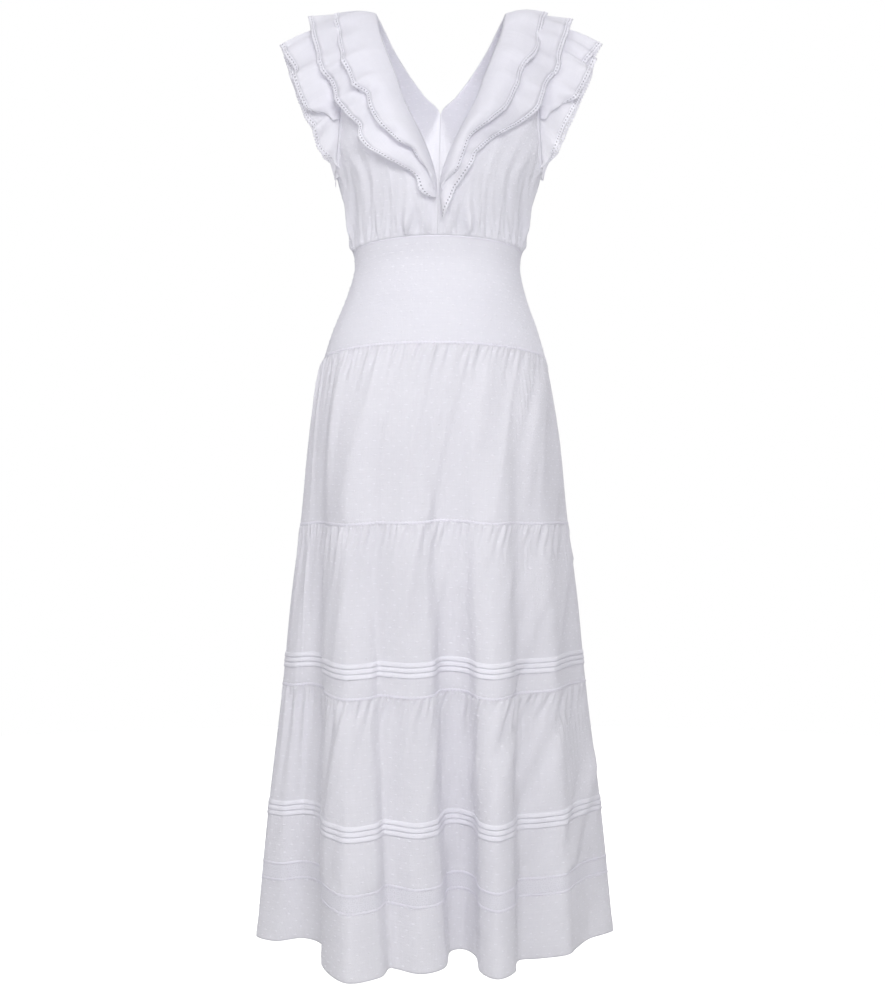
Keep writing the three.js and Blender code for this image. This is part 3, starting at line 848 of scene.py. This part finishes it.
RELIEF = {
    # pleats: pitch, depth and reach of each set; folds: count, depth, width and length
    "midriff": {"pleats": [], "folds": (16, 0.0009, 0.014, 0.05)},
    "tier1": {"pleats": [(0.0044, 0.0034, 0.026), (0.0090, 0.0040, 0.056), (0.015, 0.0030, 0.15), (0.042, 0.0055, 0.26)],
              "folds": (14, 0.0014, 0.008, 0.12)},
    "tier2": {"pleats": [(0.0044, 0.0034, 0.024), (0.0090, 0.0040, 0.050), (0.015, 0.0030, 0.13), (0.042, 0.0055, 0.24)],
              "folds": (14, 0.0014, 0.008, 0.11)},
    "tier3": {"pleats": [(0.0050, 0.0038, 0.026), (0.0100, 0.0044, 0.056), (0.017, 0.0032, 0.14), (0.046, 0.0060, 0.24)],
              "folds": (14, 0.0014, 0.008, 0.11)},
    "lace": {"pleats": [], "folds": (8, 0.0005, 0.012, 0.03)},
    "hem": {"pleats": [], "folds": (16, 0.0012, 0.014, 0.06)},
}


def band_relief(name, half, run, drop):
    rng = np.random.default_rng(seed_of(name + half))
    relief = soft_folds(run, drop, rng, *RELIEF[name]["folds"])
    for pitch, depth, reach in RELIEF[name]["pleats"]:
        relief = relief + pleats(run, drop, rng, pitch, depth, reach)
    relief = relief * held_edges(run, drop)
    if name == "hem":
        relief = relief + HEM_STEP * smooth((drop - (drop.max() - HEM_FOLD)) / 0.0015)
    return relief


def add_strip(name, points, material, thickness):
    """A sewn-on strip over a grid of points."""
    vertices, faces, flat_uv = sheet_mesh(points, cloth_place(points), thickness)
    piece = mesh_object(name, vertices, faces, material, flat_uv)


def add_tucks(name, points, levels, first):
    """Three flat pleats, stitched down along their tops and proud at their lower folds."""
    vertices, faces, places = [], [], []
    for k in range(TUCKS):
        top = first + k * TUCK_PITCH / MM
        rows = rows_at(points, levels, top + TUCK_WIDTH / MM * np.array([0, 0.3, 0.75, 1.0]))
        rise = np.array([0.0003, 0.0007, 0.0010, 0.0010])
        made = sheet_mesh(rows + outward(rows) * rise[:, None, None], cloth_place(rows), 0.0011)
        faces.extend(made[1] + sum(len(part) for part in vertices))
        vertices.append(made[0])
        places.append(made[2])
    piece = mesh_object(name, np.concatenate(vertices), faces, TUCKED, np.concatenate(places))


def add_seam_line(name, points, scallop):
    """Narrow edging caught in a seam, along the first row of a grid; its lower edge may be scalloped."""
    run = distances(points[:2])[0]
    normal = outward(points[:2])[0]
    down = unit(points[1] - points[0])
    reach = 0.0010 + scallop * np.abs(np.sin(run / PICOT_PITCH * math.pi))
    shares = np.array([-0.7, 0.0, 0.6, 1.0])[:, None]
    rise = np.array([0.0002, 0.0007, 0.0007, 0.0003])[:, None, None]
    strip = points[0] + down * (shares * reach)[..., None] + normal * rise
    add_strip(name, strip, SEAM_EDGING, 0.0006)


def add_band(name, upper, lower, half, material, tucks=None, spacing=14.0, dots=True,
             scallop=None, fineness=1.0):
    height = SEAMS[upper][0] - SEAMS[lower][0]
    first = SEAMS[upper][0] - tucks if tucks is not None else None
    levels = band_levels(height, spacing)
    points = band_grid(upper, lower, half, levels, int(COLUMNS[half] * fineness))
    relief = band_relief(name, half, distances(points), levels[:, None] * MM)
    points = points + outward(points) * relief[..., None]
    piece = cloth_piece(
        f"{name}_{half}_cloth", points[::-1], material,
    )
    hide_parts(f"{name}_{half}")
    if dots:
        dots_on(f"{name}_{half}_dots", points[::-1], DOT_PITCH, DOT_ROW, seed_of(name + half))
    if tucks is not None:
        add_tucks(f"{name}_{half}_tucks", points, levels, first)
    if scallop is not None:
        add_seam_line(f"{name}_{half}_seam_edging", points, scallop)


def build_skirt():
    for half in HALVES:
        add_band("midriff", "underbust", "hip", half, BODICE_COTTON,
                 scallop=0, fineness=0.45)
        add_band("tier1", "hip", "tier1_end", half, SKIRT_VOILE,
                 scallop=SEAM_SCALLOP)
        add_band("tier2", "tier1_end", "tier2_end", half, SKIRT_VOILE,
                 tucks=TUCK_TOPS["tier2"], scallop=SEAM_SCALLOP)
        add_band("tier3", "tier2_end", "lace_top", half, SKIRT_VOILE,
                 tucks=TUCK_TOPS["tier3"], scallop=SEAM_SCALLOP)
        add_band("lace", "lace_top", "lace_end", half, INSERTION,
                 dots=False, scallop=SEAM_SCALLOP, fineness=0.6)
        add_band("hem", "lace_end", "hem", half, SKIRT_VOILE,
                 scallop=SEAM_SCALLOP, fineness=0.6)


# ---- the bodice ----
def bodice_relief(points, part):
    """Gathers above the underbust seam and soft folds towards the shoulder and armhole."""
    run = distances(points)
    seam = points[:1] if part == "front" else points[-1:]
    rise = np.linalg.norm(points - seam, axis=-1)
    length = rise.max()
    rng = np.random.default_rng(seed_of("bodice" + part))
    relief = soft_folds(run, rise, rng, 16, 0.0014, 0.010, 0.05)
    for pitch, depth, reach in ((0.0055, 0.0036, 0.026), (0.010, 0.0048, 0.055), (0.018, 0.0050, 0.085), (0.034, 0.0050, 0.13)):
        relief = relief + pleats(run, rise, rng, pitch, depth, reach, lean=0.16)
    width = run[:, -1:]
    across = smooth(run / 0.008) * smooth((width - run) / 0.012)
    return relief * across * smooth(rise / 0.004) * smooth((length - rise) / 0.02)


def add_bindings(name, points, part, mirrored):
    """Narrow bound edges: the armhole of either part and the neck of the back."""
    columns = points[:, ::-1] if mirrored else points
    rows = slice(int(0.36 * len(points)), None) if part == "front" else slice(0, int(0.64 * len(points)))
    edges = {"armhole": columns[rows, -7:]}
    if part == "back":
        edges["neck"] = columns[:int(0.52 * len(points)), :5]
    for edge, grid in edges.items():
        normal = normals_of(grid) * (-1 if mirrored else 1)
        rise = 0.0010 * np.sin(np.linspace(0.1, 0.9, grid.shape[1]) * math.pi)
        strip = grid + normal * rise[None, :, None]
        add_strip(f"{name}_{edge}_binding", strip, FRILL_COTTON, 0.0014)


def build_bodice():
    across = np.linspace(0, 1, 100)
    spans = {"front": (-SHOULDER_ROW, -0.02), "back": (0.02, SHOULDER_ROW)}
    for part, (start, end) in spans.items():
        share = np.linspace(0, 1, 84)
        if part == "back":
            share = 1 - share[::-1]
        place = mix(start, end, share)[:, None]
        base = bodice_point(across[None, :], place) * MM
        base = base + normals_of(base) * bodice_relief(base, part)[..., None]
        for side, mirrored in (("left", False), ("right", True)):
            points, _ = mirrored_grid(base, np.zeros(base.shape[:2] + (2,)), mirrored)
            points = swayed(points)
            name = f"bodice_{part}_{side}"
            piece = cloth_piece(
                f"{name}_cloth", points, BODICE_COTTON,
            )
            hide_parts(name)
            add_bindings(name, points, part, mirrored)
            dots_on(f"{name}_dots", points, DOT_PITCH, DOT_ROW, seed_of(name))
            if part == "back":
                dots_on(f"{name}_inner_dots", points, DOT_PITCH, DOT_ROW, seed_of(name),
                        inside=True)


# ---- ruffles and sleeves ----
def frill_waves(run, out, rng, height, pitch):
    """Flutes that open towards a frill's outer edge, and small gathers at its seam."""
    total = float(run.max())
    count = int(total / pitch)
    relief = np.zeros(np.broadcast_shapes(run.shape, out.shape))
    for k in range(count):
        centre = (k + 0.5 + rng.uniform(-0.35, 0.35)) * total / count
        width = pitch * rng.uniform(0.22, 0.42)
        relief += height * rng.uniform(0.35, 1.0) * np.exp(-((run - centre) / width) ** 2)
    relief = (relief - relief.mean()) * out ** 1.4
    fine = np.zeros_like(relief)
    for k in range(int(total / 0.008)):
        centre = rng.uniform(0, total)
        fine += rng.uniform(0.2, 1.0) * np.exp(-((run - centre) / rng.uniform(0.0014, 0.003)) ** 2)
    reach = rng.uniform(0.25, 0.4)
    return relief + 0.0011 * fine * smooth(out / 0.06) * np.exp(-(out / reach) ** 2)


def picot_strip(name, edge, ahead, out_normal, node):
    """Scalloped edging along a polyline: edge points, direction past the edge and face normal."""
    steps = np.linalg.norm(np.diff(edge, axis=0), axis=-1)
    run = np.concatenate([[0], np.cumsum(steps)])
    per_scallop = 5
    count = max(8, int(run[-1] / PICOT_PITCH) * per_scallop)
    s = np.linspace(0, run[-1], count + 1)
    pick = lambda grid: np.stack([np.interp(s, run, grid[:, k]) for k in range(3)], 1)
    base, forward, normal = pick(edge), unit(pick(ahead)), unit(pick(out_normal))
    scallop = np.abs(np.sin(s / PICOT_PITCH * math.pi)) ** 0.7
    shares = np.array([-0.15, 0.0, 0.3, 0.6, 1.0])
    taper = smooth(s / 0.012) * smooth((run[-1] - s) / 0.012)
    reach = TRIM_WIDTH * (0.62 + 0.38 * scallop) * (0.3 + 0.7 * taper)
    cord = np.array([0.7, 1.0, 0.3, 0.6, 0.0]) * 0.0009
    points = (
        base[None] + forward[None] * (shares[:, None] * reach[None])[..., None]
        + normal[None] * cord[:, None, None] * (0.6 + 0.4 * scallop)[None, :, None]
    )
    uv = np.stack(np.broadcast_arrays(s[None, :], (shares * TRIM_WIDTH)[:, None]), -1)
    vertices, faces, flat_uv = sheet_mesh(points, uv, 0.0008)
    piece = mesh_object(name, vertices, faces, PICOT, flat_uv)
    if node:
        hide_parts(node)
    return piece


def add_frill(name, frill, seam, tier, side, mirrored, waves, pitch):
    first, last = frill[tier]["span"]
    shape = (240, 16)
    along = np.broadcast_to(np.linspace(first, last, shape[0])[:, None], shape)
    out = np.broadcast_to(np.linspace(0, 1, shape[1])[None, :], shape)
    grid = frill_point(frill, seam, name, tier, side, along, out) * MM
    steps = np.linalg.norm(np.diff(grid[:, shape[1] // 2], axis=0), axis=-1)
    run = np.concatenate([[0], np.cumsum(steps)])[:, None]
    node = f"{name}_{tier}_{side}"
    rng = np.random.default_rng(seed_of(node))
    grid = grid + normals_of(grid) * frill_waves(run, out, rng, waves, pitch)[..., None]
    points, _ = mirrored_grid(grid, np.zeros(grid.shape[:2] + (2,)), mirrored)
    points = swayed(points)
    piece = cloth_piece(f"{node}_cloth", points, FRILL_COTTON)
    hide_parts(node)
    edge, inner = (0, 1) if mirrored else (-1, -2)
    sewn = slice(18, -18) if name == "sleeve" else slice(None)
    picot_strip(f"{name}_picot_{tier}_{side}", points[sewn, edge], points[sewn, edge] - points[sewn, inner],
                normals_of(points)[sewn, edge], f"{name}_trim_{tier}_{side}")


def build_frills():
    for side, mirrored in (("left", False), ("right", True)):
        for tier, width in (("lower", 0.095), ("upper", 0.066)):
            add_frill("ruffle", RUFFLE, ruffle_seam, tier, side, mirrored, 0.009, 0.040)
        for tier, width in (("lower", 0.072), ("upper", 0.064)):
            add_frill("sleeve", SLEEVE, sleeve_seam, tier, side, mirrored, 0.012, 0.034)


# ---- light, floor and camera ----
FLOOR_GLOW = 0.8  # keeps the pale floor as white as the backdrop


def build_stage():
    floor_z = cad_box[0][2] - 0.20
    bpy.ops.mesh.primitive_circle_add(vertices=96, radius=4.0, fill_type="NGON", location=(0, 0, floor_z))
    floor = bpy.context.object
    floor.name = "studio_floor"
    material = bpy.data.materials.new("pale_floor")
    material.use_nodes = True
    shader = material.node_tree.nodes["Principled BSDF"]
    shader.inputs["Base Color"].default_value = (0.6, 0.6, 0.6, 1)
    shader.inputs["Roughness"].default_value = 0.9
    shader.inputs["Emission Color"].default_value = (1, 1, 1, 1)
    seen = add_node(material.node_tree, "ShaderNodeLightPath").outputs["Is Camera Ray"]
    glow = math_node(material.node_tree, "MULTIPLY", seen, FLOOR_GLOW)
    material.node_tree.links.new(glow, shader.inputs["Emission Strength"])
    floor.data.materials.append(material)

    world = bpy.data.worlds.new("studio")
    bpy.context.scene.world = world
    world.use_nodes = True
    tree = world.node_tree
    tree.nodes["Background"].inputs["Strength"].default_value = 0.43
    white = add_node(tree, "ShaderNodeBackground", [("Color", (1, 1, 1, 1)), ("Strength", 1.0)])
    tree.nodes["Background"].inputs["Color"].default_value = (1, 1, 1, 1)
    seen = add_node(tree, "ShaderNodeLightPath").outputs["Is Camera Ray"]
    blend = add_node(tree, "ShaderNodeMixShader", [(0, seen), (1, tree.nodes["Background"].outputs[0]),
                                                    (2, white.outputs[0])])
    tree.links.new(blend.outputs[0], tree.nodes["World Output"].inputs["Surface"])

    def area(name, place, aim, size, power):
        light = bpy.data.lights.new(name, "AREA")
        light.energy = power
        light.size = size
        lamp = bpy.data.objects.new(name, light)
        bpy.context.scene.collection.objects.link(lamp)
        lamp.location = place
        way = np.array(aim) - np.array(place)
        from mathutils import Vector
        lamp.rotation_euler = Vector(way).to_track_quat("-Z", "Y").to_euler()

    area("key_light", (-1.6, -2.1, 1.3), (0, 0, -0.5), 0.9, 24)
    area("front_light", (0.3, -2.5, 0.45), (0, 0, -0.42), 1.0, 46)
    area("top_light", (0.1, -1.1, 1.5), (0, 0, -0.12), 0.7, 1.4)
    area("back_light", (0.5, 2.4, 1.0), (0, 0, -0.3), 1.6, 64)


def build_camera():
    distance = 2.5
    camera = bpy.data.cameras.new("camera")
    camera.lens = 36 * distance / 1.4
    camera.sensor_width = 36
    camera.clip_end = 50
    eye = bpy.data.objects.new("camera", camera)
    bpy.context.scene.collection.objects.link(eye)
    eye.location = (0.0021, -distance, -0.675)
    eye.rotation_euler = (math.pi / 2, 0, 0)
    bpy.context.scene.camera = eye


build_camera()
build_skirt()
build_bodice()
build_frills()
build_stage()
bpy.context.scene.view_settings.view_transform = "Standard"
